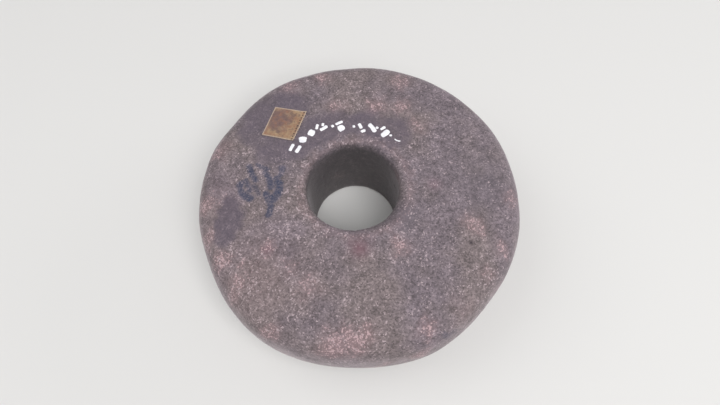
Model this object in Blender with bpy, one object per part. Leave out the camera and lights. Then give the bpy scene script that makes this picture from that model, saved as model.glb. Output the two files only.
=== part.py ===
"""A hand-ground stone spindle whorl, with a small gummed label on its upper face.

Metres, +Z up. The whorl lies on its flat underside, at z = 0, and the origin is under the
middle of its outline. Run this with blender --background --python part.py, or from
Blender's text editor.
"""

import math

import bmesh
import bpy
from mathutils import Quaternion, Vector

MM = 0.001

# Driving sizes of the whorl
WHORL_DIAMETER = 48.2 * MM
WHORL_THICKNESS = 13.4 * MM
SHOULDER_WIDTH = 4.0 * MM
SHOULDER_SQUARENESS = 2.3
FACE_CROWN = 0.35 * MM

# The bore, drilled from above: off centre, leaning and a little wider at the top, its mouths worn
BORE_DIAMETER = 12.9 * MM
BORE_TAPER = 0.45 * MM
LOWER_BORE_CENTRE = Vector((-0.48 * MM, 0.03 * MM, 0.0))
UPPER_BORE_CENTRE = Vector((-0.9 * MM, 0.5 * MM, 0.0))
UPPER_MOUTH_WIDTH = 1.1 * MM
UPPER_MOUTH_DEPTH = 1.5 * MM
LOWER_MOUTH_WIDTH = 0.5 * MM
LOWER_MOUTH_DEPTH = 0.6 * MM

# Where the rim stands proud (+) or was ground low (-): angle from +X, height, half-width
RIM_HIGHS_AND_LOWS = (
    (25, 0.16 * MM, 16),
    (35, 0.14 * MM, 70),
    (96, -0.18 * MM, 15),
    (124, 0.18 * MM, 14),
    (148, -0.20 * MM, 12),
    (162, 0.16 * MM, 10),
    (204, -0.32 * MM, 18),
    (237, 0.32 * MM, 24),
    (270, -0.22 * MM, 20),
    (294, 0.16 * MM, 12),
    (319, -0.20 * MM, 16),
    (348, 0.12 * MM, 16),
)

# Where thread and spindle wore the upper mouth wider: angle from +X, width, half-width
MOUTH_WEAR = (
    (-35, 0.75 * MM, 45),
    (190, 0.85 * MM, 60),
)

# The label: a square of thin gummed paper on the upper face
LABEL_WIDTH = 5.0 * MM
LABEL_LENGTH = 5.4 * MM
LABEL_THICKNESS = 0.2 * MM
LABEL_CENTRE = Vector((-11.4 * MM, 10.8 * MM, 0.0))
LABEL_TURN = -15.0
LABEL_GAP = 0.3 * MM

# How finely the round surfaces are divided
SEGMENTS = 96
RIM_STEPS = 18
FACE_STEPS = 5
MOUTH_STEPS = 5
BORE_STEPS = 3
SHARP_EDGE_ANGLE = 40.0


def clear_scene():
    for obj in list(bpy.data.objects):
        bpy.data.objects.remove(obj)


def material(name, colour, roughness):
    made = bpy.data.materials.new(name)
    made.use_nodes = True
    shader = made.node_tree.nodes["Principled BSDF"]
    shader.inputs["Base Color"].default_value = (*colour, 1.0)
    shader.inputs["Roughness"].default_value = roughness
    shader.inputs["Metallic"].default_value = 0.0
    return made


def smooth_step(low, high, value):
    """0 up to low, 1 from high on, and a smooth rise between them."""
    share = min(1.0, max(0.0, (value - low) / (high - low)))
    return share * share * (3.0 - 2.0 * share)


def bump_at(angle, bumps):
    """The sum of smooth bumps at an angle in radians. Each bump is (degrees, height, half-width)."""
    total = 0.0
    for centre, height, half_width in bumps:
        away = (math.degrees(angle) - centre + 180.0) % 360.0 - 180.0
        if abs(away) < half_width:
            total += height * 0.5 * (1.0 + math.cos(math.pi * away / half_width))
    return total


def bore_radius(height):
    """The bore's radius, a little wider towards the upper face."""
    return BORE_DIAMETER / 2 + BORE_TAPER / 2 * height / WHORL_THICKNESS


def mouth_radius():
    """The radius at which the upper face meets the bore's worn mouth."""
    return bore_radius(WHORL_THICKNESS - UPPER_MOUTH_DEPTH) + UPPER_MOUTH_WIDTH


def face_height(radius):
    """The upper face's height: highest at the bore's mouth, falling a little to the shoulder."""
    inner = mouth_radius()
    outer = WHORL_DIAMETER / 2 - SHOULDER_WIDTH
    share = min(1.0, max(0.0, (radius - inner) / (outer - inner)))
    return WHORL_THICKNESS - FACE_CROWN * share**2


def rim_points():
    """From the underside's outer edge, round the rim, to the upper face's outer edge."""
    middle = WHORL_THICKNESS / 2
    power = 2.0 / SHOULDER_SQUARENESS
    points = []
    for step in range(RIM_STEPS + 1):
        turn = math.pi * (step / RIM_STEPS - 0.5)
        out = SHOULDER_WIDTH * abs(math.cos(turn)) ** power
        rise = abs(math.sin(turn)) ** power
        if turn < 0.0:
            height = middle - middle * rise
        else:
            height = middle + (middle - FACE_CROWN) * rise
        points.append((WHORL_DIAMETER / 2 - SHOULDER_WIDTH + out, height))
    return points


def face_points():
    """Across the upper face, from its outer edge to the bore's mouth, both left out."""
    outer = WHORL_DIAMETER / 2 - SHOULDER_WIDTH
    inner = mouth_radius()
    radii = [outer + (inner - outer) * step / FACE_STEPS for step in range(1, FACE_STEPS)]
    return [(radius, face_height(radius)) for radius in radii]


def bore_points():
    """From the upper mouth's edge, down the bore, to the lower mouth's edge."""
    top = WHORL_THICKNESS - UPPER_MOUTH_DEPTH
    points = []
    for step in range(MOUTH_STEPS + 1):
        turn = 0.5 * math.pi * step / MOUTH_STEPS
        out = UPPER_MOUTH_WIDTH * (1.0 - math.sin(turn))
        points.append((bore_radius(top) + out, top + UPPER_MOUTH_DEPTH * math.cos(turn)))
    for step in range(1, BORE_STEPS):
        height = top + (LOWER_MOUTH_DEPTH - top) * step / BORE_STEPS
        points.append((bore_radius(height), height))
    for step in range(MOUTH_STEPS + 1):
        turn = 0.5 * math.pi * step / MOUTH_STEPS
        out = LOWER_MOUTH_WIDTH * (1.0 - math.cos(turn))
        points.append((bore_radius(LOWER_MOUTH_DEPTH) + out, LOWER_MOUTH_DEPTH * (1.0 - math.sin(turn))))
    return points


def ground_by_hand(point):
    """Moves a point of the even, turned shape to where the hand-worked stone has it."""
    radius = math.hypot(point.x, point.y)
    angle = math.atan2(point.y, point.x)
    shoulder = WHORL_DIAMETER / 2 - SHOULDER_WIDTH
    rim_share = smooth_step(mouth_radius(), WHORL_DIAMETER / 2, radius)
    bore_share = 1.0 - smooth_step(bore_radius(point.z), shoulder, radius)
    upper_share = smooth_step(WHORL_THICKNESS - UPPER_MOUTH_DEPTH, WHORL_THICKNESS, point.z)
    moved = radius + rim_share * bump_at(angle, RIM_HIGHS_AND_LOWS)
    moved += bore_share * upper_share * bump_at(angle, MOUTH_WEAR)
    bore_centre = LOWER_BORE_CENTRE.lerp(UPPER_BORE_CENTRE, point.z / WHORL_THICKNESS)
    return Vector((moved * math.cos(angle), moved * math.sin(angle), point.z)) + bore_share * bore_centre


def make_whorl(stone):
    shape = bmesh.new()
    outline = rim_points() + face_points() + bore_points()
    corners = [shape.verts.new((radius, 0.0, height)) for radius, height in outline]
    edges = [shape.edges.new((a, b)) for a, b in zip(corners, corners[1:] + corners[:1])]
    bmesh.ops.spin(
        shape,
        geom=corners + edges,
        axis=(0.0, 0.0, 1.0),
        cent=(0.0, 0.0, 0.0),
        angle=2.0 * math.pi,
        steps=SEGMENTS,
        use_merge=True,
    )
    for vert in shape.verts:
        vert.co = ground_by_hand(vert.co)
    bmesh.ops.recalc_face_normals(shape, faces=shape.faces)
    return finished("whorl", shape, stone)


def make_label(paper):
    """The label, lying along the upper face's slope, just clear of the stone under it."""
    shape = bmesh.new()
    bmesh.ops.create_cube(shape, size=1.0)
    bmesh.ops.scale(shape, vec=(LABEL_WIDTH, LABEL_LENGTH, LABEL_THICKNESS), verts=shape.verts)
    label = finished("label", shape, paper)
    radius = LABEL_CENTRE.length
    slope = (face_height(radius + MM) - face_height(radius - MM)) / (2 * MM)
    outward = LABEL_CENTRE.normalized()
    face_normal = (Vector((0.0, 0.0, 1.0)) - slope * outward).normalized()
    seat = LABEL_CENTRE + Vector((0.0, 0.0, face_height(radius)))
    label.location = seat + (LABEL_GAP + LABEL_THICKNESS / 2) * face_normal
    label.rotation_mode = "QUATERNION"
    up = Vector((0.0, 0.0, 1.0))
    turned = Quaternion(up, math.radians(LABEL_TURN))
    label.rotation_quaternion = up.rotation_difference(face_normal) @ turned
    return label


def finished(name, shape, finish):
    mesh = bpy.data.meshes.new(name)
    shape.to_mesh(mesh)
    shape.free()
    mesh.shade_smooth()
    mesh.set_sharp_from_angle(angle=math.radians(SHARP_EDGE_ANGLE))
    mesh.materials.append(finish)
    obj = bpy.data.objects.new(name, mesh)
    bpy.context.scene.collection.objects.link(obj)
    return obj


def centre_under(whorl, pieces):
    """Puts the middle of the whorl's outline over the origin, and takes every piece along."""
    across = [vert.co.x for vert in whorl.data.vertices]
    along = [vert.co.y for vert in whorl.data.vertices]
    frame = bpy.data.objects.new("whorl_frame", None)
    bpy.context.scene.collection.objects.link(frame)
    frame.location.x = -(min(across) + max(across)) / 2
    frame.location.y = -(min(along) + max(along)) / 2
    for piece in pieces:
        piece.parent = frame


clear_scene()
sandstone = material("purple_grey_sandstone", (0.235, 0.195, 0.215), 0.8)
gummed_paper = material("yellowed_gummed_paper", (0.30, 0.19, 0.09), 0.6)
whorl = make_whorl(sandstone)
label = make_label(gummed_paper)
centre_under(whorl, (whorl, label))
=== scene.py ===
"""A hand-ground sandstone spindle whorl, with a gummed paper label, painted marks and faded ink.

Metres, +Z up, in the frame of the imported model. The whorl lies on its underside at z = 0, and its
bore leans a little. Places on the stone are in millimetres from the origin, seen from above.
"""

import math
import random

import bpy
import numpy as np
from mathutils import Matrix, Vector, noise
from mathutils.bvhtree import BVHTree


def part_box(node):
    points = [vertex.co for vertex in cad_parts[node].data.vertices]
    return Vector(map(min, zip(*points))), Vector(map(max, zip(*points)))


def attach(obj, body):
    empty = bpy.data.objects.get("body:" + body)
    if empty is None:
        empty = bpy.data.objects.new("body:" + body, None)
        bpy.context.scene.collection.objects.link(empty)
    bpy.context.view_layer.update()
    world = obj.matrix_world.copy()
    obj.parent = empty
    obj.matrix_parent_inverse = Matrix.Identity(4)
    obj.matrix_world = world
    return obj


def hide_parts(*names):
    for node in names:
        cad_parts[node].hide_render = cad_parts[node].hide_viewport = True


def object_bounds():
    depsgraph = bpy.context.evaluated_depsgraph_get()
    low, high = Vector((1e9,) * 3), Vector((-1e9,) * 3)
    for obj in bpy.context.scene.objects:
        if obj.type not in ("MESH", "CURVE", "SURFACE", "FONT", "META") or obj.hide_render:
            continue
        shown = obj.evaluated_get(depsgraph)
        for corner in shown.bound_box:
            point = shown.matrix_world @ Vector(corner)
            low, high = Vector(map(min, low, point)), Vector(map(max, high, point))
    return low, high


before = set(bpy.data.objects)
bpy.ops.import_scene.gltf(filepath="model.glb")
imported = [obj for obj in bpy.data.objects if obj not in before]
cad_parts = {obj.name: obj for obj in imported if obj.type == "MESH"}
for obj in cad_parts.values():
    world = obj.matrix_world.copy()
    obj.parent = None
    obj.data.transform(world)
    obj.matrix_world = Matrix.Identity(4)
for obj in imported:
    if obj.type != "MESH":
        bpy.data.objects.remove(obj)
cad_low, cad_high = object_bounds()

MM = 0.001
SEED = 1207

# The photograph's camera, 65 degrees above the table with a 45 degree vertical view: its place,
# its tilt in degrees, its lens and sensor in mm, and the nearest thing it sees
CAMERA_PLACE = Vector((0.146, -31.089, 75.93)) * MM
CAMERA_TILT = 24.54
CAMERA_LENS = 24.445
CAMERA_SENSOR = 36.0
CAMERA_NEAR = 5.0 * MM

# How finely the stone is divided: steps round it, and steps along each side of its section
ROUND_STEPS = 530
FACE_STEPS = 66
RIM_STEPS = 56
UNDERSIDE_STEPS = 30
BORE_STEPS = 34

# How many times the solid's facets are smoothed, along the section and round the whorl
SECTION_SMOOTHING = 14
ROUND_SMOOTHING = 10

# The bore and its mouths are smoothed less: how much, how many steps they take up, and how many
# times the change to the full smoothing is eased
BORE_SMOOTHING = 0.1
MOUTH_STEPS = 8
LOWER_MOUTH_STEPS = 4
SMOOTHING_EASE = 6

# Hand grinding left low waves, and sand grains stand a little out of them: size and height in mm.
# The stone is ground away first, by less on the rim, so that the waves stay inside the solid
WAVES = ((9.0, 0.060), (3.2, 0.030), (1.2, 0.018), (0.55, 0.012))
WAVE_SHIFT = 17.0
GROUND_AWAY = 0.07
RIM_GROUND_AWAY = 0.01

# Where the stone counts as its upper face or its underside for its relief, its scratches and its
# colours: how far its normal rises, from not at all to fully
RELIEF_UPPER = (0.5, 0.95)
RELIEF_UNDER = (0.7, 0.95)
SCRATCH_UPPER = (0.3, 0.7)
COLOUR_UPPER = (0.15, 0.55)

# Flats ground on the shoulders: degrees from +X, degrees that the flat faces up, and depth in mm
SHOULDER_FLATS = (
    (3, 2, 0.08), (22, 10, 0.13), (42, 17, 0.20), (61, 22, 0.16), (80, 24, 0.09), (92, 24, 0.12),
    (124, 22, 0.22), (133, 20, 0.16), (140, 17, 0.14), (149, 14, 0.30), (168, 5, 0.28),
    (203, -10, 0.16), (231, -20, 0.24), (258, -24, 0.06), (286, -24, 0.14), (305, -20, 0.05),
    (343, -8, 0.09),
    (110, 44, 0.07), (70, 42, 0.06), (203, 38, 0.06), (286, 36, 0.05), (330, 40, 0.06),
    (160, 40, 0.06), (24, 44, 0.06), (240, 41, 0.06), (48, -35, 0.14), (88, -28, 0.12),
    (131, -33, 0.16), (165, -27, 0.12), (12, -38, 0.12), (190, 4, 0.08), (150, -2, 0.09),
)

# How soft a flat's edge is, and the most that a flat takes off, in mm
FLAT_EDGE = 0.02
FLAT_DEEPEST = 0.8

# Pits where grains fell out: how many, the smallest and largest radius and depth in mm, and the
# power that rounds their floors
PIT_COUNT = 260
PIT_RADII = (0.16, 0.50)
PIT_DEPTHS = (0.03, 0.10)
PIT_ROUNDING = 1.5

# One deep pit: place, radius and depth in mm. The stone's normal rises more than this there
DEEP_PIT = ((15.4, -8.3), 0.36, 0.30)
DEEP_PIT_RISE = 0.8

# Scratches on the upper face, each drawn in so many steps: start, middle, end, width and depth in mm
SCRATCH_STEPS = 6
SCRATCHES = (
    (((14.5, 3.7), (15.0, 3.0), (15.4, 2.5)), 0.26, 0.06),
    (((-3.5, -12.1), (-2.6, -13.0), (-1.6, -13.6)), 0.24, 0.04),
    (((9.4, -15.7), (10.7, -15.2), (11.8, -14.4)), 0.24, 0.04),
    (((-18.0, -13.6), (-17.4, -12.8), (-16.7, -12.2)), 0.26, 0.05),
    (((17.6, 8.4), (18.3, 7.6), (18.7, 6.7)), 0.24, 0.04),
)

# Colour on the upper face: place and radius in mm, and strength
LACQUER = (
    (-14.4, 12.6, 3.3, 1.0), (-12.6, 13.5, 3.4, 1.0), (-10.8, 13.6, 3.2, 1.0),
    (-14.8, 9.4, 3.2, 1.0), (-12.9, 7.9, 3.6, 1.0), (-10.4, 7.4, 3.4, 1.0),
    (-8.3, 8.3, 3.2, 1.0), (-6.6, 9.6, 2.7, 1.0), (-4.6, 10.4, 2.5, 1.0), (-2.4, 10.7, 2.5, 1.0),
    (-0.2, 10.5, 2.5, 1.0), (1.9, 10.1, 2.7, 1.0), (4.0, 9.6, 3.0, 1.0), (5.2, 9.2, 2.7, 1.0),
)
DARK_PATCH = (
    (-18.1, -3.0, 1.5, 1.0), (-18.1, -4.4, 2.0, 1.0), (-18.3, -5.8, 2.1, 1.0),
    (-18.6, -7.2, 1.6, 0.9),
)
PINK_BLOTCHES = (
    (-3.2, -22.2, 1.9, 1.0), (-0.8, -21.4, 1.7, 1.0), (0.9, -20.6, 1.2, 0.8),
    (-18.4, -10.9, 1.3, 0.9), (-16.0, -14.1, 1.5, 0.8), (-16.9, -15.7, 1.4, 0.7),
    (-12.2, -9.2, 1.3, 0.7), (-11.8, -20.4, 1.4, 0.7), (15.6, -5.4, 1.1, 0.7),
    (16.3, -6.6, 0.8, 0.7), (5.6, -8.9, 1.2, 0.9), (8.8, -19.8, 1.3, 0.8),
    (13.5, -17.1, 1.5, 0.25), (17.2, -12.6, 1.0, 0.4), (19.5, -9.0, 1.1, 0.7),
    (-21.9, -2.6, 1.5, 0.8), (-21.2, -7.6, 1.5, 0.8), (-15.6, -11.3, 1.0, 0.6),
    (-5.8, 19.8, 1.2, 0.9), (-11.2, 18.2, 1.7, 0.7), (-3.6, 14.0, 1.4, 0.6),
    (2.7, 13.9, 1.7, 0.8), (6.7, 14.1, 1.5, 0.7), (8.9, 10.6, 1.3, 0.6), (6.5, 19.0, 1.6, 0.6),
    (-21.0, 6.4, 1.7, 0.7), (-6.9, -14.6, 1.9, 0.5), (-9.3, -12.0, 1.5, 0.45),
    (22.0, -1.5, 1.5, 0.6), (-13.5, -12.5, 6.5, 0.28), (-20.0, -2.0, 3.5, 0.30),
)
RED_SPOTS = (
    (0.1, -9.3, 1.3, 1.0), (-1.0, -8.6, 0.8, 0.5), (-12.4, -9.5, 0.7, 0.6), (10.8, 0.4, 0.9, 0.5),
)
PALE_GRAIN = (
    (-9.0, -3.5, 4.5, 0.75), (-7.6, -8.6, 4.0, 0.65), (-14.5, -14.5, 5.5, 0.55),
    (-8.0, -16.0, 5.0, 0.55), (-12.5, 4.0, 4.5, 0.5), (6.5, -9.5, 3.5, 0.6),
    (2.0, -21.0, 4.0, 0.35), (-2.0, 15.0, 4.0, 0.4), (9.0, 6.0, 4.0, 0.3),
    (17.5, -13.0, 2.4, 0.7), (-19.0, -9.0, 4.0, 0.6),
)
WORN_SMOOTH = ((6.9, -4.3, 1.7, 1.0), (6.4, -6.2, 1.2, 0.7), (18.5, 1.5, 4.5, 0.6))

# Painted shade on the bore's left wall: place and radius in mm, and strength
WALL_SHADE = ((-8.2, 0.8, 3.0, 1.0), (-7.4, -2.6, 2.6, 0.8), (-7.2, 3.4, 2.2, 0.5))

# Noise that edges wander by and that patches the side: size in mm, and where it is taken from
WIDE_WAVES = (2.6, 5.0)
FINE_WAVES = (0.8, 9.0)
SIDE_PINK_WAVES = (4.2, 23.0)
SIDE_PALE_WAVES = (6.0, 31.0)

# The half-width of each film's edge, and how far the wide and the fine noise push it, in mm
LACQUER_EDGE = (1.0, 0.9, 0.5)
DARK_PATCH_EDGE = (0.5, 0.5, 0.5)
PINK_PUSH = 1.1

# Between which values the side's noise turns to patches, what the wide noise adds, and their share
SIDE_PINK_PATCHES = (0.22, 0.60)
SIDE_PALE_PATCHES = (-0.15, 0.55)
SIDE_PINK_BREAK = 0.3
SIDE_SHARE = 0.8

# The bore's painted shade, and the spindle's polish there, in mm: out from the wall, down from the
# upper face, and up from the underside
SHADE_AND_POLISH_OUT = (0.3, 1.6)
SHADE_AND_POLISH_DOWN = (0.05, 2.0)
SHADE_AND_POLISH_UP = (0.2, 0.8)

# The pale ring round the mouth: where it starts and ends, in mm from the bore's wall, how pale and
# how pink it is, and how much of the lacquer is worn off it
RING_START = (0.2, 1.2)
RING_END = (1.2, 2.6)
RING_PALE = 0.8
RING_PINK = 0.3
RING_BARE = 0.7

# The rim's painted highlight, a lighter band: how far its normal rises at the upper and the lower
# shoulder, what the wide noise adds, and how far from the bore's wall it starts in mm
RIM_HIGHLIGHT_UPPER = (0.10, 0.62)
RIM_HIGHLIGHT_LOWER = (-0.95, -0.70)
RIM_HIGHLIGHT_BREAK = 0.10
RIM_HIGHLIGHT_START = (2.0, 4.0)

# Faded ink, a loose row of slanted strokes: start, middle and end, width in mm, and strength. Each
# is drawn in so many steps and fades between two shares of its width, and the fine and the wide
# noise push its edge
INK_STEPS = 8
INK_FADE = (0.34, 0.72)
INK_PUSH = (0.20, 0.12)
INK_STROKES = (
    (((-16.0, 3.4), (-15.6, 2.2), (-14.9, 1.1)), 0.85, 0.95),
    (((-14.9, 3.7), (-14.2, 3.2), (-13.3, 2.9)), 0.75, 0.8),
    (((-13.7, 2.3), (-12.9, 1.2), (-12.6, 0.0)), 0.90, 0.95),
    (((-11.2, 3.1), (-11.3, 2.0), (-11.9, 1.4)), 0.80, 0.85),
    (((-11.5, 0.6), (-11.5, -0.8), (-12.1, -2.0)), 1.05, 1.0),
    (((-13.2, -1.2), (-12.5, -2.8), (-12.6, -4.3)), 0.95, 1.0),
    (((-17.0, 0.4), (-16.6, -1.0), (-15.4, -1.8)), 1.05, 1.0),
    (((-16.3, 1.0), (-15.9, 0.2), (-15.7, -0.6)), 0.80, 0.8),
    (((-15.0, 0.2), (-14.5, -0.5), (-14.2, -1.3)), 0.65, 0.5),
    (((11.0, -20.3), (11.7, -20.4), (12.6, -19.9)), 0.60, 0.4),
)

# Rows of white brush dabs: place, turn in degrees, and each dab's start, middle, end and width
PAINT_MARKS = (
    ((-9.45, 6.5), 38, ((((-0.95, 0.05), (-0.45, 0.36), (0.10, 0.62)), 0.50),
                        (((-0.40, -0.72), (0.15, -0.50), (0.72, -0.22)), 0.54))),
    ((-8.4, 7.85), 38, ((((-0.30, -0.36), (-0.02, 0.02), (0.26, 0.40)), 1.16),)),
    ((-7.15, 9.05), 32, ((((-0.26, 0.40), (0.0, 0.0), (0.28, -0.36)), 1.10),)),
    ((-5.65, 9.9), 18, ((((-0.80, 0.05), (-0.62, 0.45), (-0.40, 0.80)), 0.42),
                        (((-0.30, -0.25), (0.20, -0.15), (0.85, 0.10)), 0.56),
                        (((0.22, 0.30), (0.34, 0.55), (0.44, 0.78)), 0.40))),
    ((-4.02, 10.25), 8, ((((-0.18, -0.06), (0.0, 0.0), (0.18, 0.08)), 0.46),)),
    ((-2.75, 10.1), 2, ((((-0.40, -0.42), (0.02, -0.20), (0.42, 0.10)), 1.05),
                        (((-0.75, 0.45), (-0.30, 0.72), (0.25, 0.95)), 0.46))),
    ((-0.79, 10.2), -4, ((((-0.18, -0.05), (0.0, 0.0), (0.18, 0.05)), 0.46),)),
    ((0.45, 10.0), -6, ((((-0.55, 0.62), (-0.28, 0.22), (-0.10, -0.15)), 0.50),
                        (((-0.05, -0.78), (0.25, -0.58), (0.55, -0.48)), 0.50))),
    ((1.95, 9.75), -14, ((((-0.62, 0.68), (0.0, 0.25), (0.55, -0.40)), 0.66),
                         (((0.55, 0.50), (0.70, 0.42), (0.88, 0.30)), 0.40))),
    ((4.1, 9.2), -18, ((((-0.45, -0.85), (-0.05, -0.25), (0.22, 0.35)), 0.86),
                       (((-0.95, 0.20), (-0.72, 0.45), (-0.45, 0.85)), 0.46),
                       (((0.62, -0.42), (0.80, -0.36), (1.00, -0.30)), 0.34))),
    ((5.75, 7.75), -16, ((((-0.42, 0.08), (0.0, -0.08), (0.42, 0.0)), 0.20),)),
)

# The paint, in mm: its height, the share of that at a dab's ends, how deep its underside lies in the
# stone, and its least half-width
PAINT_HEIGHT = 0.06
PAINT_END_HEIGHT = 0.35
PAINT_SUNK = 0.03
PAINT_LEAST = 0.01

# How finely a dab is divided, along and across, the share by which the brush runs on past its
# points, and how many times, and by what share, its width wavers
PAINT_STEPS = 22
PAINT_ACROSS = 10
PAINT_RUN_ON = 0.12
PAINT_WAVERS = 6
PAINT_UNEVEN = 0.10

# The label in mm: its corners from the lower left round to the upper left, its paper, how far it
# lies off the stone, and how far its right corners curl up, past a share of its width and of half
# its length
LABEL_CORNERS = ((-14.6, 8.75), (-9.85, 7.6), (-8.05, 12.8), (-12.95, 13.8))
LABEL_THICKNESS = 0.11
LABEL_LIFT = 0.03
LABEL_CURL = 0.12
LABEL_CURL_ACROSS = 0.75
LABEL_CURL_ALONG = 0.72

# How finely the label is divided, how many times the stone's grain is smoothed under it, and the
# angle in degrees from which its edges are sharp
LABEL_ROWS = 99
LABEL_COLUMNS = 88
LABEL_SETTLING = 12
LABEL_SHARP_ANGLE = 40.0

# The pricked holes inside the label's torn right edge: how many, then in mm their radius, inset,
# how far that strays, and their depth. Their floor is flat over a share of the radius
LABEL_HOLES = 11
LABEL_HOLE_RADIUS = 0.15
LABEL_HOLE_INSET = 0.33
LABEL_HOLE_STRAY = 0.04
LABEL_HOLE_DEPTH = 0.07
LABEL_HOLE_FLOOR = 0.45

# The torn edge's scallops in mm, from which share of the width they start, and the pale edge's
# width in mm with the share of it that is fully pale
LABEL_SCALLOP = 0.04
LABEL_SCALLOP_START = 0.94
LABEL_PALE_EDGE = 0.20
LABEL_PALE_SHARE = 0.3

# How far over the solid the search for the stone's surface starts
SEARCH_HEIGHT = 5.0 * MM

# The stain in the middle of the label: its middle, how far its edge is blurred, and its radii
STAIN_MIDDLE = Vector((-12.4, 11.6, 13.4)) * MM
STAIN_BLUR = 2.6 * MM
STAIN_RADII = (2.6 * MM, 4.0 * MM)

# How far the sand grains' outlines are pushed about
GRAIN_PUSH = 0.16 * MM

# The floor's size, and softboxes round the whorl: place and size in metres, and watts
FLOOR_SIZE = 3.0
SOFTBOXES = (
    ("key_softbox", (0.11, -0.195, 0.415), 0.34, 1.83),
    ("fill_softbox", (-0.32, 0.10, 0.34), 0.40, 0.6),
    ("low_softbox", (0.34, 0.16, 0.06), 0.24, 0.5),
)
SURROUND_STRENGTH = 0.42


def linear(hex_colour):
    """An sRGB hex colour as linear red, green, blue and alpha."""
    channels = [int(hex_colour[i : i + 2], 16) / 255 for i in (1, 3, 5)]
    curved = [c / 12.92 if c <= 0.04045 else ((c + 0.055) / 1.055) ** 2.4 for c in channels]
    return (*curved, 1.0)


def add(tree, kind, inputs=(), **settings):
    """Adds a node. settings are its own values, and inputs gives its sockets a value or a link.

    A socket goes by its name or its number. A Map Range maps from 1 and 2 onto 3 and 4, a colour Mix
    goes by its share, 0, from the colour 6 to the colour 7, and a vector is scaled by 3.
    """
    node = tree.nodes.new(kind)
    for name, value in settings.items():
        setattr(node, name, value)
    for key, value in dict(inputs).items():
        if isinstance(value, bpy.types.NodeSocket):
            tree.links.new(value, node.inputs[key])
        else:
            node.inputs[key].default_value = value
    return node


def per_mm(size):
    """The texture scale at which one cell or wave measures size millimetres."""
    return 1.0 / (size * MM)


def bare_material(name):
    """A new material with no nodes but one, which gives each point's place on the whorl."""
    material = bpy.data.materials.new(name)
    material.use_nodes = True
    tree = material.node_tree
    tree.nodes.clear()
    return material, tree, add(tree, "ShaderNodeTexCoord").outputs["Object"]


def smooth_step(low, high, value):
    """0 up to low, 1 from high on, and a smooth rise between them."""
    share = np.clip((value - low) / (high - low), 0.0, 1.0)
    return share * share * (3.0 - 2.0 * share)


def wandering(points, size, offset=0.0):
    """Smooth noise from about -1 to 1 at each point, with waves of size millimetres."""
    scale = per_mm(size)
    flat = points.reshape(-1, 3) * scale + offset
    return np.array([noise.noise(Vector(p)) for p in flat]).reshape(points.shape[:-1])


def softened(values, axis, passes, strength=1.0):
    """Each point drawn towards the middle of its neighbours, by strength, in so many passes."""
    for _ in range(passes):
        beside = (np.roll(values, 1, axis) + np.roll(values, -1, axis)) / 2.0
        values = values + 0.5 * strength * (beside - values)
    return values


def unit(vectors):
    """Each vector at a length of one."""
    return vectors / np.linalg.norm(vectors, axis=-1, keepdims=True)


def curve_through(start, middle, end, steps):
    """Points along the smooth curve that starts, passes its middle and ends at the points given."""
    share = np.linspace(0.0, 1.0, steps + 1)[:, None]
    start, middle, end = (np.array(point, dtype=float) for point in (start, middle, end))
    bend = 2.0 * middle - 0.5 * (start + end)
    return (1 - share) ** 2 * start + 2 * share * (1 - share) * bend + share**2 * end


def distance_to_curve(places, curve):
    """How far each place is from the line through the curve's points, all in mm."""
    nearest = np.full(places.shape[:-1], np.inf)
    for a, b in zip(curve[:-1], curve[1:]):
        along = b - a
        share = np.clip(((places - a) @ along) / (along @ along), 0.0, 1.0)
        nearest = np.minimum(nearest, np.linalg.norm(places - a - share[..., None] * along, axis=-1))
    return nearest


def spread_of_spots(places, spots, edge, wander):
    """1 inside the spots and 0 outside, over an edge of that many mm that wanders in and out."""
    mask = np.zeros(places.shape[:-1])
    for x, y, radius, strength in spots:
        away = np.linalg.norm(places - (x, y), axis=-1)
        mask = np.maximum(mask, strength * smooth_step(-edge, edge, radius - away + wander))
    return mask


def glow_of_spots(places, spots):
    """Soft spots that fade out from their middles."""
    mask = np.zeros(places.shape[:-1])
    for x, y, radius, strength in spots:
        away = np.linalg.norm(places - (x, y), axis=-1)
        mask = np.maximum(mask, strength * np.exp(-((away / radius) ** 2)))
    return mask


def section_directions(half_width, half_height):
    """Directions from the middle of the whorl's section: over the face, rim, underside and bore."""
    corners = ((-1, 1), (1, 1), (1, -1), (-1, -1), (-1, 1))
    steps = (FACE_STEPS, RIM_STEPS, UNDERSIDE_STEPS, BORE_STEPS)
    directions = []
    for (r0, z0), (r1, z1), count in zip(corners, corners[1:], steps):
        for step in range(count):
            share = step / count
            out = r0 + (r1 - r0) * share
            up = z0 + (z1 - z0) * share
            directions.append((out * half_width, up * half_height))
    return directions


def even_stone():
    """The whorl's surface before it is roughened: rays out of its section, stopped by the solid."""
    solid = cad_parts["whorl"].data
    hull = BVHTree.FromPolygons(
        [vertex.co.copy() for vertex in solid.vertices],
        [tuple(face.vertices) for face in solid.polygons],
    )
    low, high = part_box("whorl")
    middle = (low.z + high.z) / 2
    wall = hull.ray_cast(Vector((0.0, 0.0, middle)), Vector((0.0, 1.0, 0.0)))[3]
    ring = (wall + high.x) / 2
    directions = section_directions((high.x - wall) / 2, (high.z - low.z) / 2)
    points = np.zeros((ROUND_STEPS, len(directions), 3))
    for i in range(ROUND_STEPS):
        angle = 2.0 * math.pi * i / ROUND_STEPS
        outward = Vector((math.cos(angle), math.sin(angle), 0.0))
        start = outward * ring + Vector((0.0, 0.0, middle))
        for j, (out, up) in enumerate(directions):
            heading = outward * out + Vector((0.0, 0.0, up))
            points[i, j] = hull.ray_cast(start, heading)[0]
    strength = np.full((1, len(directions), 1), BORE_SMOOTHING)
    strength[:, MOUTH_STEPS : -BORE_STEPS - LOWER_MOUTH_STEPS] = 1.0
    strength = softened(strength, 1, SMOOTHING_EASE)
    points = softened(points, 1, SECTION_SMOOTHING, strength)
    return softened(points, 0, ROUND_SMOOTHING)


def facing(points):
    """The outward normal at each point of the stone's grid."""
    along = np.roll(points, -1, 1) - np.roll(points, 1, 1)
    around = np.roll(points, -1, 0) - np.roll(points, 1, 0)
    return unit(np.cross(along, around))


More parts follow.
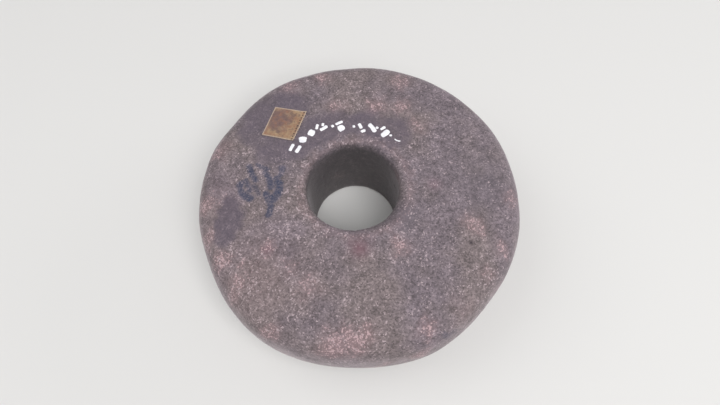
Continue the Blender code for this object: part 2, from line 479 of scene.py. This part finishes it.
def grind_flats(points):
    """Cuts the shoulders back to the flats that hand grinding left."""
    for azimuth, tilt, depth in SHOULDER_FLATS:
        a, t = math.radians(azimuth), math.radians(tilt)
        normal = np.array((math.cos(a) * math.cos(t), math.sin(a) * math.cos(t), math.sin(t)))
        here = round(a / (2.0 * math.pi) * ROUND_STEPS) % ROUND_STEPS
        plane = (points[here] @ normal).max() - depth * MM
        over = (points @ normal - plane) / (FLAT_EDGE * MM)
        cut = FLAT_EDGE * MM * np.logaddexp(0.0, np.minimum(over, FLAT_DEEPEST / FLAT_EDGE))
        points = points - cut[..., None] * normal
    return points


def sink_pits(points, normals):
    """Hollows where grains fell out. Returns the pitted points, and how deep in a pit each lies."""
    chance = random.Random(SEED)
    flat = points.reshape(-1, 3)
    pits = []
    for _ in range(PIT_COUNT):
        centre = flat[chance.randrange(len(flat))]
        size = chance.random() ** 2
        radius = PIT_RADII[0] + (PIT_RADII[1] - PIT_RADII[0]) * size
        depth = PIT_DEPTHS[0] + (PIT_DEPTHS[1] - PIT_DEPTHS[0]) * chance.random()
        pits.append((centre, radius * MM, depth * MM))
    (x, y), radius, depth = DEEP_PIT
    away = np.linalg.norm(flat[:, :2] / MM - (x, y), axis=-1)
    away[normals.reshape(-1, 3)[:, 2] <= DEEP_PIT_RISE] = np.inf
    pits.append((flat[away.argmin()], radius * MM, depth * MM))
    sunk = np.zeros(points.shape[:-1])
    for centre, radius, depth in pits:
        away = np.linalg.norm(points - centre, axis=-1) / radius
        sunk = np.maximum(sunk, depth * np.clip(1.0 - away**2, 0.0, 1.0) ** PIT_ROUNDING)
    return points - sunk[..., None] * normals, sunk / (PIT_DEPTHS[1] * MM)


def cut_scratches(points, normals):
    """Shallow grooves in the upper face."""
    upper = smooth_step(*SCRATCH_UPPER, normals[..., 2])
    places = points[..., :2] / MM
    for (start, middle, end), width, depth in SCRATCHES:
        away = distance_to_curve(places, curve_through(start, middle, end, SCRATCH_STEPS))
        groove = depth * MM * upper * np.clip(1.0 - (away / width) ** 2, 0.0, 1.0)
        points = points - groove[..., None] * normals
    return points


def roughen(points, normals):
    """Waves of grinding and standing grains. The underside is only hollowed, so it still lies flat."""
    waves = np.zeros(points.shape[:-1])
    for order, (size, height) in enumerate(WAVES):
        waves += height * MM * wandering(points, size, WAVE_SHIFT * order)
    upper = smooth_step(*RELIEF_UPPER, normals[..., 2])
    under = smooth_step(*RELIEF_UNDER, -normals[..., 2])
    ground_away = (RIM_GROUND_AWAY + (GROUND_AWAY - RIM_GROUND_AWAY) * upper) * MM
    rise = (waves - ground_away) * (1.0 - under) + np.minimum(waves, 0.0) * under
    return points + rise[..., None] * normals


def faded_ink(places, wide, fine):
    """How strong the ink's strokes are at each place."""
    ink = np.zeros(places.shape[:-1])
    for (start, middle, end), width, strength in INK_STROKES:
        away = distance_to_curve(places, curve_through(start, middle, end, INK_STEPS))
        edge = away + INK_PUSH[0] * fine + INK_PUSH[1] * wide
        faded = smooth_step(INK_FADE[0] * width, INK_FADE[1] * width, edge)
        ink = np.maximum(ink, strength * (1.0 - faded))
    return ink


def film(places, spots, edge, wide, fine):
    """A film of lacquer or dirt over the spots. edge is its half-width and the noise's two pushes."""
    half_width, wide_push, fine_push = edge
    return spread_of_spots(places, spots, half_width, wide_push * wide + fine_push * fine)


def stone_masks(points, normals, sunk):
    """Where each colour lies on the stone: from 0 to about 1, and up to 3 in the deepest pit."""
    places = points[..., :2] / MM
    height = points[..., 2] / MM
    rise = normals[..., 2]
    upper = smooth_step(*COLOUR_UPPER, rise)
    wide = wandering(points, *WIDE_WAVES)
    fine = wandering(points, *FINE_WAVES)
    mid_wall = -BORE_STEPS // 2
    from_middle = np.linalg.norm(places - places[:, mid_wall].mean(axis=0), axis=-1)
    from_wall = from_middle - from_middle[:, mid_wall].mean()
    # The bore is painted darker as shade and made smoother as polish: from its wall out, fading in
    # below the upper mouth and stopping just above the underside
    bore_shade_and_polish = 1.0 - smooth_step(*SHADE_AND_POLISH_OUT, from_wall)
    bore_shade_and_polish *= smooth_step(*SHADE_AND_POLISH_DOWN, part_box("whorl")[1].z / MM - height)
    bore_shade_and_polish *= smooth_step(*SHADE_AND_POLISH_UP, height)
    ring = smooth_step(*RING_START, from_wall) * (1.0 - smooth_step(*RING_END, from_wall + fine))
    # A painted highlight: the rim is drawn lighter all round, away from the bore
    rim_highlight = 1.0 - smooth_step(*RIM_HIGHLIGHT_UPPER, rise + RIM_HIGHLIGHT_BREAK * wide)
    rim_highlight *= smooth_step(*RIM_HIGHLIGHT_START, from_wall) * smooth_step(*RIM_HIGHLIGHT_LOWER, rise)
    pushed = places + PINK_PUSH * np.stack((wide, fine), axis=-1)
    pink = glow_of_spots(pushed, PINK_BLOTCHES) + RING_PINK * ring
    side_pink = wandering(points, *SIDE_PINK_WAVES) + SIDE_PINK_BREAK * wide
    side_pink = SIDE_SHARE * smooth_step(*SIDE_PINK_PATCHES, side_pink)
    pale = np.clip(glow_of_spots(places, PALE_GRAIN) + RING_PALE * ring, 0.0, 1.0)
    side_pale = SIDE_SHARE * smooth_step(*SIDE_PALE_PATCHES, wandering(points, *SIDE_PALE_WAVES))
    lacquer = film(places, LACQUER, LACQUER_EDGE, wide, fine)
    return {
        "lacquer": lacquer * (1.0 - RING_BARE * ring) * upper,
        "dark_patch": film(places, DARK_PATCH, DARK_PATCH_EDGE, wide, fine) * upper,
        "pink": pink * upper + side_pink * (1.0 - upper),
        "red": glow_of_spots(places, RED_SPOTS) * upper,
        "pale_grain": pale * upper + side_pale * (1.0 - upper),
        "worn_smooth": glow_of_spots(places, WORN_SMOOTH) * upper,
        "ink": faded_ink(places, wide, fine) * upper,
        "bore_shade_and_polish": np.clip(bore_shade_and_polish, 0.0, 1.0),
        # painted shade on the bore's left wall
        "wall_shade": glow_of_spots(places, WALL_SHADE) * bore_shade_and_polish,
        "rim_highlight": np.clip(rim_highlight, 0.0, 1.0),
        "pitted": sunk,
    }


def new_piece(name, points, faces, material, attributes=()):
    """A smooth-shaded mesh piece of the whorl, with a value at each point for each attribute."""
    mesh = bpy.data.meshes.new(name)
    mesh.from_pydata([tuple(point) for point in points], [], faces)
    for key, values in dict(attributes).items():
        made = mesh.attributes.new(key, "FLOAT", "POINT")
        made.data.foreach_set("value", np.asarray(values, dtype=np.float32).ravel())
    mesh.materials.append(material)
    mesh.shade_smooth()
    mesh.update()
    piece = bpy.data.objects.new(name, mesh)
    bpy.context.scene.collection.objects.link(piece)
    return piece


def grid_faces(rounds, sides):
    """Four-cornered faces over a grid that closes on itself both ways."""
    faces = []
    for i in range(rounds):
        ahead = (i + 1) % rounds
        for j in range(sides):
            beside = (j + 1) % sides
            faces.append((i * sides + j, i * sides + beside, ahead * sides + beside, ahead * sides + j))
    return faces


def make_stone():
    """The stone itself: ground, roughened, pitted and scratched, in place of the plain solid."""
    points = grind_flats(even_stone())
    normals = facing(points)
    points = roughen(points, normals)
    points, sunk = sink_pits(points, normals)
    points = cut_scratches(points, normals)
    low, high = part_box("whorl")
    points = np.clip(points, np.array(low), np.array(high))
    masks = stone_masks(points, facing(points), sunk)
    sides = points.shape[1]
    faces = grid_faces(ROUND_STEPS, sides)
    stone = new_piece("whorl_stone", points.reshape(-1, 3), faces, ground_sandstone(), masks)
    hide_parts("whorl")
    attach(stone, "root")
    return stone


def stone_under(stone):
    """A function from a place in mm to the stone's height there, in metres."""
    mesh = stone.data
    skin = BVHTree.FromPolygons(
        [vertex.co.copy() for vertex in mesh.vertices],
        [tuple(face.vertices) for face in mesh.polygons],
    )
    above = cad_high.z + SEARCH_HEIGHT
    down = Vector((0.0, 0.0, -1.0))

    def height(x, y):
        return skin.ray_cast(Vector((x * MM, y * MM, above)), down)[0].z

    return height


def shell_faces(rows, columns):
    """Faces of an open grid of points and of a second grid under it, closed round their edges."""
    under = rows * columns
    faces = []
    for i in range(rows - 1):
        for j in range(columns - 1):
            a, b = i * columns + j, i * columns + j + 1
            c, d = b + columns, a + columns
            faces.append((a, b, c, d))
            faces.append((under + d, under + c, under + b, under + a))
    edge = list(range(columns))
    edge += [i * columns + columns - 1 for i in range(1, rows)]
    edge += [(rows - 1) * columns + j for j in range(columns - 2, -1, -1)]
    edge += [i * columns for i in range(rows - 2, 0, -1)]
    for a, b in zip(edge, edge[1:] + edge[:1]):
        faces.append((b, a, under + a, under + b))
    return faces


def pricked_holes(places):
    """How deep each place of the label lies in a pricked hole, from 0 to 1."""
    lower_left, lower_right, upper_right = (np.array(corner) for corner in LABEL_CORNERS[:3])
    inward = unit(lower_left - lower_right)
    chance = random.Random(SEED + 1)
    pricked = np.zeros(places.shape[:-1])
    for hole in range(LABEL_HOLES):
        share = (hole + 0.5) / LABEL_HOLES
        outer = lower_right + (upper_right - lower_right) * share
        stray = chance.uniform(-LABEL_HOLE_STRAY, LABEL_HOLE_STRAY)
        centre = outer + inward * (LABEL_HOLE_INSET + stray)
        away = np.linalg.norm(places - centre, axis=-1) / LABEL_HOLE_RADIUS
        pricked = np.maximum(pricked, 1.0 - smooth_step(LABEL_HOLE_FLOOR, 1.0, away))
    return pricked


def settled(seat):
    """The stone's heights under the label, smoothed both ways, because paper bridges the grain."""
    for axis in (0, 1):
        for _ in range(LABEL_SETTLING):
            ends = np.pad(seat, [(1, 1) if a == axis else (0, 0) for a in (0, 1)], mode="edge")
            before, after = (ends[:-2], ends[2:]) if axis == 0 else (ends[:, :-2], ends[:, 2:])
            seat = (before + 2.0 * seat + after) / 4.0
    return seat


def make_label(height):
    """Thin paper that lies flat over the grain, with a row of pricked holes by its right edge."""
    rows, columns = LABEL_ROWS + 1, LABEL_COLUMNS + 1
    lower_left, lower_right, upper_right, upper_left = (np.array(c) for c in LABEL_CORNERS)
    width = np.linalg.norm(lower_right - lower_left)
    length = np.linalg.norm(upper_left - lower_left)
    up = np.linspace(0.0, 1.0, rows)[:, None]
    across = np.linspace(0.0, 1.0, columns)[None, :]
    left = lower_left + (upper_left - lower_left) * up
    right = lower_right + (upper_right - lower_right) * up
    scallop = LABEL_SCALLOP / width * np.cos(2.0 * math.pi * LABEL_HOLES * up)
    pulled = across + scallop * smooth_step(LABEL_SCALLOP_START, 1.0, across)
    places = left[:, None] + (right - left)[:, None] * pulled[..., None]
    pricked = pricked_holes(places)
    inset = np.minimum(
        np.minimum(across, 1.0 - across) * width,
        np.minimum(up, 1.0 - up) * length,
    )
    edges = 1.0 - smooth_step(LABEL_PALE_SHARE * LABEL_PALE_EDGE, LABEL_PALE_EDGE, inset)
    curl = smooth_step(LABEL_CURL_ACROSS, 1.0, across)
    curl = curl * smooth_step(LABEL_CURL_ALONG, 1.0, np.abs(2.0 * up - 1.0))
    lifts = LABEL_CURL * curl * curl
    seat = settled(np.array([[height(x, y) for x, y in row] for row in places]))
    under = np.dstack((places * MM, seat + (LABEL_LIFT + lifts) * MM))
    top = under.copy()
    top[..., 2] += (LABEL_THICKNESS - LABEL_HOLE_DEPTH * pricked) * MM
    label = new_piece(
        "gummed_label",
        np.concatenate((top.reshape(-1, 3), under.reshape(-1, 3))),
        shell_faces(rows, columns),
        yellowed_gummed_paper(),
        {
            "paper_edge": np.concatenate((edges.ravel(), np.ones(edges.size))),
            "pricked": np.concatenate((pricked.ravel(), np.zeros(pricked.size))),
        },
    )
    label.data.set_sharp_from_angle(angle=math.radians(LABEL_SHARP_ANGLE))
    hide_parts("label")
    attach(label, "root")


def dab_points(curve, width, height, chance):
    """A brush dab's upper and lower points: thick in the middle, rounded ends and uneven sides."""
    along = np.gradient(curve, axis=0)
    across = unit(np.stack((-along[:, 1], along[:, 0]), axis=-1))
    shares = np.linspace(0.0, 1.0, len(curve))
    length = np.linalg.norm(np.diff(curve, axis=0), axis=1).sum() + width
    end = width / 2 / length
    uneven = [chance.uniform(-PAINT_UNEVEN, PAINT_UNEVEN) for _ in range(PAINT_WAVERS)]
    top, under = [], []
    for step, share in enumerate(shares):
        near_end = min(share, 1.0 - share) / end
        rounded = math.sqrt(max(0.0, 1.0 - max(0.0, 1.0 - near_end) ** 2))
        waver = 1.0 + np.interp(share * (PAINT_WAVERS - 1), range(PAINT_WAVERS), uneven)
        half = max(0.5 * width * rounded * waver, PAINT_LEAST)
        full = PAINT_END_HEIGHT + (1.0 - PAINT_END_HEIGHT) * rounded
        for k in range(PAINT_ACROSS + 1):
            side = 2.0 * k / PAINT_ACROSS - 1.0
            x, y = curve[step] + across[step] * side * half
            dome = math.sqrt(max(0.0, 1.0 - side**2)) * full
            ground = height(x, y)
            top.append((x * MM, y * MM, ground + PAINT_HEIGHT * MM * dome))
            under.append((x * MM, y * MM, ground - PAINT_SUNK * MM))
    return top, under


def make_paint(height):
    """The row of white brush dabs above the bore, a thin raised film of paint on the stone."""
    chance = random.Random(SEED + 2)
    rows, columns = PAINT_STEPS + 1, PAINT_ACROSS + 1
    points, faces = [], []
    for centre, turn, dabs in PAINT_MARKS:
        cos_turn, sin_turn = math.cos(math.radians(turn)), math.sin(math.radians(turn))
        for (start, middle, end), width in dabs:
            inside = curve_through(start, middle, end, PAINT_STEPS)
            lengthened = inside + (inside - inside.mean(axis=0)) * PAINT_RUN_ON
            x = centre[0] + lengthened[:, 0] * cos_turn - lengthened[:, 1] * sin_turn
            y = centre[1] + lengthened[:, 0] * sin_turn + lengthened[:, 1] * cos_turn
            top, under = dab_points(np.stack((x, y), axis=-1), width, height, chance)
            first = len(points)
            points += top + under
            faces += [tuple(first + corner for corner in face) for face in shell_faces(rows, columns)]
    paint = new_piece("white_paint_marks", points, faces, brushed_white_paint())
    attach(paint, "root")


def ground_sandstone():
    """Fine-grained purple-grey sandstone, pecked and ground: matt, speckled, with pink blotches.

    The eye gets a soft grey-lilac body with paler quartz and dark grains a fifth of a
    millimetre wide, dull lacquer and ink that dim the grain, a rim painted lighter as a highlight,
    pits painted darker as shade, and an even bore painted darker as shade.
    """
    material, tree, place = bare_material("ground_sandstone")
    spread = {}
    for name in ("lacquer", "dark_patch", "pink", "red", "pale_grain", "worn_smooth", "ink",
                 "bore_shade_and_polish", "wall_shade", "rim_highlight", "pitted"):
        spread[name] = add(tree, "ShaderNodeAttribute", attribute_name=name).outputs["Fac"]

    # The body's tone drifts from lilac to brown-grey over a centimetre, and mottles finer
    drift = add(tree, "ShaderNodeTexNoise", {"Vector": place, "Scale": per_mm(9.0), "Detail": 3.0})
    mottle = add(tree, "ShaderNodeTexNoise",
                 {"Vector": place, "Scale": per_mm(2.6), "Detail": 4.0, "Roughness": 0.66})
    cluster = add(tree, "ShaderNodeTexNoise",
                  {"Vector": place, "Scale": per_mm(0.8), "Detail": 3.0, "Roughness": 0.7})
    warm = add(tree, "ShaderNodeMapRange", {"Value": drift.outputs["Fac"], 1: 0.40, 2: 0.60})
    body = add(tree, "ShaderNodeMix",
               {0: warm.outputs[0], 6: linear("#71666C"), 7: linear("#766A6B")}, data_type="RGBA")
    cloud = add(tree, "ShaderNodeMapRange",
                {"Value": mottle.outputs["Fac"], 1: 0.36, 2: 0.66, 3: 0.82, 4: 1.22})
    clotted = add(tree, "ShaderNodeMapRange",
                  {"Value": cluster.outputs["Fac"], 1: 0.32, 2: 0.68, 3: 0.88, 4: 1.13})
    cloudy = add(tree, "ShaderNodeMath", {0: cloud.outputs[0], 1: clotted.outputs[0]},
                 operation="MULTIPLY")

    # Sand grains of uneven outline, each with its own shade: three random numbers for each grain
    jitter = add(tree, "ShaderNodeTexNoise", {"Vector": place, "Scale": per_mm(0.35), "Detail": 1.0})
    pushed = add(tree, "ShaderNodeVectorMath",
                 {0: jitter.outputs["Color"], 1: (GRAIN_PUSH, GRAIN_PUSH, GRAIN_PUSH)},
                 operation="MULTIPLY")
    grain_place = add(tree, "ShaderNodeVectorMath", {0: place, 1: pushed.outputs[0]}, operation="ADD")
    grains = add(tree, "ShaderNodeTexVoronoi",
                 {"Vector": grain_place.outputs[0], "Scale": per_mm(0.19)}, feature="F1")
    lots = add(tree, "ShaderNodeSeparateColor", {0: grains.outputs["Color"]})
    shade = add(tree, "ShaderNodeMapRange", {"Value": lots.outputs[0], 3: 0.58, 4: 1.37})
    shading = add(tree, "ShaderNodeMath", {0: shade.outputs[0], 1: cloudy.outputs[0]},
                  operation="MULTIPLY")
    shaded = add(tree, "ShaderNodeVectorMath", {0: body.outputs[2], 3: shading.outputs[0]},
                 operation="SCALE")

    # Pale quartz grains crowd in clusters and round the mouth, and dark grains are scattered
    patches = add(tree, "ShaderNodeMapRange", {"Value": cluster.outputs["Fac"], 1: 0.44, 2: 0.70,
                                              3: 0.05, 4: 0.40})
    crowding = add(tree, "ShaderNodeMath", {0: spread["pale_grain"], 1: 0.8, 2: 0.52},
                   operation="MULTIPLY_ADD")
    crowd = add(tree, "ShaderNodeMath", {0: crowding.outputs[0], 1: patches.outputs[0]},
                operation="MULTIPLY")
    limit = add(tree, "ShaderNodeMath", {0: 1.0, 1: crowd.outputs[0]}, operation="SUBTRACT")
    limit_end = add(tree, "ShaderNodeMath", {0: limit.outputs[0], 1: 0.12}, operation="ADD")
    pale = add(tree, "ShaderNodeMapRange", {"Value": lots.outputs[1], 1: limit.outputs[0],
                                           2: limit_end.outputs[0], 4: 0.75})
    dark = add(tree, "ShaderNodeMapRange", {"Value": lots.outputs[2], 1: 0.92, 2: 0.98, 4: 0.35})

    # Pink patches are crowds of pink grains over a faint blush, thick where the stone clots
    blush = add(tree, "ShaderNodeMath", {0: spread["pink"], 1: clotted.outputs[0]},
                operation="MULTIPLY", use_clamp=True)
    pink_limit = add(tree, "ShaderNodeMapRange", {"Value": blush.outputs[0], 1: 0.10, 2: 1.0,
                                                 3: 1.0, 4: 0.50})
    pink_end = add(tree, "ShaderNodeMath", {0: pink_limit.outputs[0], 1: 0.15}, operation="ADD")
    pink_grain = add(tree, "ShaderNodeMapRange", {"Value": lots.outputs[2], 4: 0.9,
                                                 1: pink_limit.outputs[0], 2: pink_end.outputs[0]})
    pink_part = add(tree, "ShaderNodeMath", {0: blush.outputs[0], 1: 0.55}, operation="MULTIPLY")
    # The rim's painted highlight, broken up by the mottle
    rim_highlight_break = add(tree, "ShaderNodeMapRange", {"Value": mottle.outputs["Fac"], 1: 0.36,
                                                   2: 0.62, 3: 0.08, 4: 0.58})
    rim_highlight_part = add(tree, "ShaderNodeMath", {0: spread["rim_highlight"], 1: rim_highlight_break.outputs[0]},
                      operation="MULTIPLY")
    red_part = add(tree, "ShaderNodeMath", {0: spread["red"], 1: 0.6}, operation="MULTIPLY")
    worn_part = add(tree, "ShaderNodeMath", {0: spread["worn_smooth"], 1: 0.6}, operation="MULTIPLY")

    # Films on the stone: lacquer and ink lie uneven, and the grain shows through them
    film_break = add(tree, "ShaderNodeMapRange", {"Value": mottle.outputs["Fac"], 1: 0.34, 2: 0.62,
                                                 3: 0.46, 4: 0.74})
    lacquer_part = add(tree, "ShaderNodeMath", {0: spread["lacquer"], 1: film_break.outputs[0]},
                       operation="MULTIPLY")
    patch_part = add(tree, "ShaderNodeMath", {0: spread["dark_patch"], 1: 0.68}, operation="MULTIPLY")
    ink_break = add(tree, "ShaderNodeMapRange", {"Value": lots.outputs[0], 3: 1.0, 4: 0.66})
    ink_cover = add(tree, "ShaderNodeMapRange", {"Value": cluster.outputs["Fac"], 1: 0.36, 2: 0.62,
                                                3: 1.0, 4: 0.72})
    ink_left = add(tree, "ShaderNodeMath", {0: ink_break.outputs[0], 1: ink_cover.outputs[0]},
                   operation="MULTIPLY")
    ink_part = add(tree, "ShaderNodeMath", {0: spread["ink"], 1: ink_left.outputs[0]},
                   operation="MULTIPLY")
    # Painted shade in the bore, broken up a little where the stone clots
    bore_shade_break = add(tree, "ShaderNodeMapRange", {"Value": cluster.outputs["Fac"], 1: 0.34, 2: 0.66,
                                                 3: 0.97, 4: 0.80})
    bore_shade_part = add(tree, "ShaderNodeMath", {0: spread["bore_shade_and_polish"], 1: bore_shade_break.outputs[0]},
                    operation="MULTIPLY")
    # More painted shade on the bore's left wall
    wall_shade_part = add(tree, "ShaderNodeMath", {0: spread["wall_shade"], 1: 0.75},
                     operation="MULTIPLY")
    # Pits painted darker by their depth, a painted shade in the hollows
    pit_shade = add(tree, "ShaderNodeMath", {0: spread["pitted"], 1: 0.4}, operation="MULTIPLY")
    tint = shaded.outputs[0]
    for share, over in (
        # Painted highlight on the rim
        (rim_highlight_part.outputs[0], "#988C90"),
        (pink_part.outputs[0], "#917678"),
        (red_part.outputs[0], "#754F5A"),
        (worn_part.outputs[0], "#665E66"),
        (dark.outputs[0], "#423B42"),
        (pale.outputs[0], "#B7A5A9"),
        (pink_grain.outputs[0], "#B59A9D"),
        # Painted shade in the pits
        (pit_shade.outputs[0], "#3E363B"),
        (patch_part.outputs[0], "#544B58"),
        (lacquer_part.outputs[0], "#544A57"),
        (ink_part.outputs[0], "#323A53"),
        # Painted shade in the bore, and more painted shade on its left wall
        (bore_shade_part.outputs[0], "#474344"),
        (wall_shade_part.outputs[0], "#353132"),
    ):
        tint = add(tree, "ShaderNodeMix", {0: share, 6: tint, 7: linear(over)},
                   data_type="RGBA").outputs[2]

    # Dull stone, with lacquer and the spindle's polish a little smoother
    smoother = add(tree, "ShaderNodeMath", {0: spread["lacquer"], 1: spread["bore_shade_and_polish"]},
                   operation="MAXIMUM")
    gloss = add(tree, "ShaderNodeMapRange", {"Value": smoother.outputs[0], 3: 0.86, 4: 0.62})
    grit = add(tree, "ShaderNodeTexNoise",
               {"Vector": place, "Scale": per_mm(0.22), "Detail": 2.0, "Roughness": 0.6})
    grit_bump = add(tree, "ShaderNodeBump",
                    {"Strength": 0.55, "Distance": 0.05 * MM, "Height": grit.outputs["Fac"]})
    grain_bump = add(tree, "ShaderNodeBump",
                     {"Strength": 0.45, "Distance": 0.06 * MM, "Height": grains.outputs["Distance"],
                      "Normal": grit_bump.outputs[0]}, invert=True)
    shader = add(tree, "ShaderNodeBsdfPrincipled",
                 {"Base Color": tint, "Roughness": gloss.outputs[0], "IOR": 1.54,
                  "Sheen Weight": 0.35, "Sheen Roughness": 0.35, "Sheen Tint": linear("#E8DFE2"),
                  "Normal": grain_bump.outputs[0]})
    add(tree, "ShaderNodeOutputMaterial", {"Surface": shader.outputs[0]})
    return material


def yellowed_gummed_paper():
    """Thin machine-made paper, gummed and aged: warm brown, paler and fuzzy at its cut edges.

    The eye gets a dull golden tan with a mauve-brown stain in the middle, rusty fox marks, soft
    fibres, and pricked holes coloured dark brown.
    """
    material, tree, place = bare_material("yellowed_gummed_paper")
    edge = add(tree, "ShaderNodeAttribute", attribute_name="paper_edge").outputs["Fac"]
    pricked = add(tree, "ShaderNodeAttribute", attribute_name="pricked").outputs["Fac"]
    cloud = add(tree, "ShaderNodeTexNoise",
                {"Vector": place, "Scale": per_mm(1.5), "Detail": 4.0, "Roughness": 0.6})
    fox = add(tree, "ShaderNodeTexNoise",
              {"Vector": place, "Scale": per_mm(0.9), "Detail": 3.0, "Roughness": 0.65})
    fibre = add(tree, "ShaderNodeTexNoise",
                {"Vector": place, "Scale": per_mm(0.28), "Detail": 3.0, "Roughness": 0.7})
    toned = add(tree, "ShaderNodeMapRange", {"Value": cloud.outputs["Fac"], 1: 0.38, 2: 0.62})
    tint = add(tree, "ShaderNodeMix",
               {0: toned.outputs[0], 6: linear("#8C6D57"), 7: linear("#A0866A")}, data_type="RGBA")
    away = add(tree, "ShaderNodeVectorMath", {0: place, 1: STAIN_MIDDLE}, operation="DISTANCE")
    blur = add(tree, "ShaderNodeMath", {0: cloud.outputs["Fac"], 1: STAIN_BLUR, 2: away.outputs[1]},
               operation="MULTIPLY_ADD")
    stain = add(tree, "ShaderNodeMapRange",
                {"Value": blur.outputs[0], 1: STAIN_RADII[0], 2: STAIN_RADII[1], 3: 0.9, 4: 0.0})
    rusty = add(tree, "ShaderNodeMapRange", {"Value": fox.outputs["Fac"], 1: 0.51, 2: 0.64, 4: 0.7})
    grime = add(tree, "ShaderNodeMapRange", {"Value": fox.outputs["Fac"], 1: 0.48, 2: 0.37, 4: 0.6})
    pale_edge = add(tree, "ShaderNodeMath", {0: edge, 1: 0.8}, operation="MULTIPLY")
    paper = tint.outputs[2]
    for share, over in (
        (stain.outputs[0], "#705855"),
        (rusty.outputs[0], "#8A634F"),
        (grime.outputs[0], "#614D4B"),
        (pale_edge.outputs[0], "#B8A696"),
        (pricked, "#41332E"),
    ):
        paper = add(tree, "ShaderNodeMix", {0: share, 6: paper, 7: linear(over)},
                    data_type="RGBA").outputs[2]
    speck = add(tree, "ShaderNodeMapRange", {"Value": fibre.outputs["Fac"], 1: 0.3, 2: 0.7,
                                            3: 0.84, 4: 1.16})
    speckled = add(tree, "ShaderNodeVectorMath", {0: paper, 3: speck.outputs[0]},
                   operation="SCALE")
    bump = add(tree, "ShaderNodeBump",
               {"Strength": 0.4, "Distance": 0.03 * MM, "Height": fibre.outputs["Fac"]})
    shader = add(tree, "ShaderNodeBsdfPrincipled",
                 {"Base Color": speckled.outputs[0], "Roughness": 0.6, "IOR": 1.5,
                  "Normal": bump.outputs[0]})
    add(tree, "ShaderNodeOutputMaterial", {"Surface": shader.outputs[0]})
    return material


def brushed_white_paint():
    """White paint put on with a fine brush: opaque, faintly blue-white, with soft thick edges."""
    material, tree, place = bare_material("brushed_white_paint")
    thin = add(tree, "ShaderNodeTexNoise", {"Vector": place, "Scale": per_mm(0.6), "Detail": 2.0})
    worn = add(tree, "ShaderNodeMapRange", {"Value": thin.outputs["Fac"], 1: 0.35, 2: 0.6})
    tint = add(tree, "ShaderNodeMix",
               {0: worn.outputs[0], 6: linear("#E6E5EA"), 7: linear("#F6F5F8")}, data_type="RGBA")
    bump = add(tree, "ShaderNodeBump",
               {"Strength": 0.5, "Distance": 0.03 * MM, "Height": thin.outputs["Fac"]})
    shader = add(tree, "ShaderNodeBsdfPrincipled",
                 {"Base Color": tint.outputs[2], "Roughness": 0.5, "IOR": 1.48,
                  "Normal": bump.outputs[0]})
    add(tree, "ShaderNodeOutputMaterial", {"Surface": shader.outputs[0]})
    return material


def pale_studio_board():
    """Matt pale board under the whorl."""
    material = bpy.data.materials.new("pale_studio_board")
    material.use_nodes = True
    shader = material.node_tree.nodes["Principled BSDF"]
    shader.inputs["Base Color"].default_value = linear("#D9D8D6")
    shader.inputs["Roughness"].default_value = 0.9
    return material


def make_floor():
    """The plain pale floor, which isn't part of the whorl."""
    half = FLOOR_SIZE / 2
    mesh = bpy.data.meshes.new("floor")
    mesh.from_pydata(
        [(-half, -half, 0.0), (half, -half, 0.0), (half, half, 0.0), (-half, half, 0.0)],
        [],
        [(0, 1, 2, 3)],
    )
    mesh.materials.append(pale_studio_board())
    floor = bpy.data.objects.new("floor", mesh)
    bpy.context.scene.collection.objects.link(floor)


def make_camera():
    """The camera at the photograph's angle."""
    camera = bpy.data.objects.new("camera", bpy.data.cameras.new("camera"))
    camera.data.lens = CAMERA_LENS
    camera.data.sensor_width = CAMERA_SENSOR
    camera.data.clip_start = CAMERA_NEAR
    camera.location = CAMERA_PLACE
    camera.rotation_euler = (math.radians(CAMERA_TILT), 0.0, 0.0)
    bpy.context.scene.collection.objects.link(camera)
    bpy.context.scene.camera = camera


def soft_light(name, place, size, watts):
    """A square softbox at that place, turned to the whorl."""
    lamp = bpy.data.lights.new(name, "AREA")
    lamp.size = size
    lamp.energy = watts
    light = bpy.data.objects.new(name, lamp)
    light.location = place
    light.rotation_euler = (-Vector(place)).to_track_quat("-Z", "Y").to_euler()
    bpy.context.scene.collection.objects.link(light)


def light_studio():
    """The softboxes and an even, pale surround."""
    for name, place, size, watts in SOFTBOXES:
        soft_light(name, place, size, watts)
    world = bpy.data.worlds.new("pale_surround")
    world.use_nodes = True
    surround = world.node_tree.nodes["Background"]
    surround.inputs["Color"].default_value = linear("#E9E9EB")
    surround.inputs["Strength"].default_value = SURROUND_STRENGTH
    bpy.context.scene.world = world
    bpy.context.scene.view_settings.view_transform = "Standard"


make_camera()
stone = make_stone()
surface = stone_under(stone)
make_label(surface)
make_paint(surface)
make_floor()
light_studio()

bpy.context.view_layer.update()
